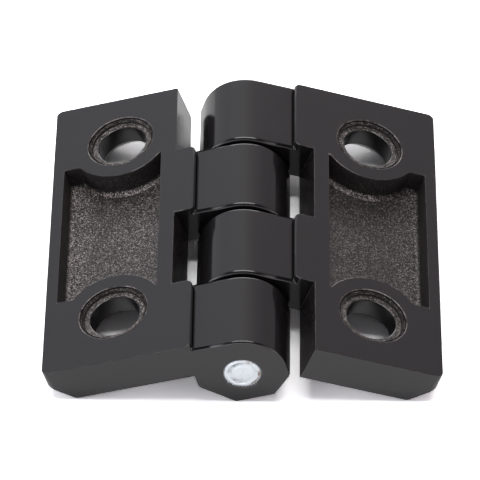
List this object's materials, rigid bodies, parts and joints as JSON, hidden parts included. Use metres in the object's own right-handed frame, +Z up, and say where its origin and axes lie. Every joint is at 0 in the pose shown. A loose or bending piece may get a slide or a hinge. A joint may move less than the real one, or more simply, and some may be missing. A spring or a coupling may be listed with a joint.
{
  "type": "butt hinge",
  "caption": "Cast butt hinge: two equal leaves with interleaved knuckles turn on a knurled steel pin; countersunk screw holes and relief pockets.",
  "frame": {"origin": "on the surface it lies on, below the middle of the pin", "axes": "+X across the hinge towards the right leaf, +Y along the pin away from its knurled end, +Z up, out of the mounting faces"},
  "size_m": [0.0518, 0.05, 0.011],
  "materials": {
    "black_casting": "satin black paint on zinc casting",
    "bare_steel": "bare bright steel"
  },
  "bodies": {
    "left": {"left_leaf": "black_casting", "hinge_pin": "bare_steel"},
    "right": {"right_leaf": "black_casting"}
  },
  "joints": [
    {"name": "pin_hinge", "type": "hinge", "parent": "left", "child": "right", "pos_m": [0, 0, 0.00514], "axis": [0, 1, 0], "range_deg": [-127.9, 147.1]}
  ]
}
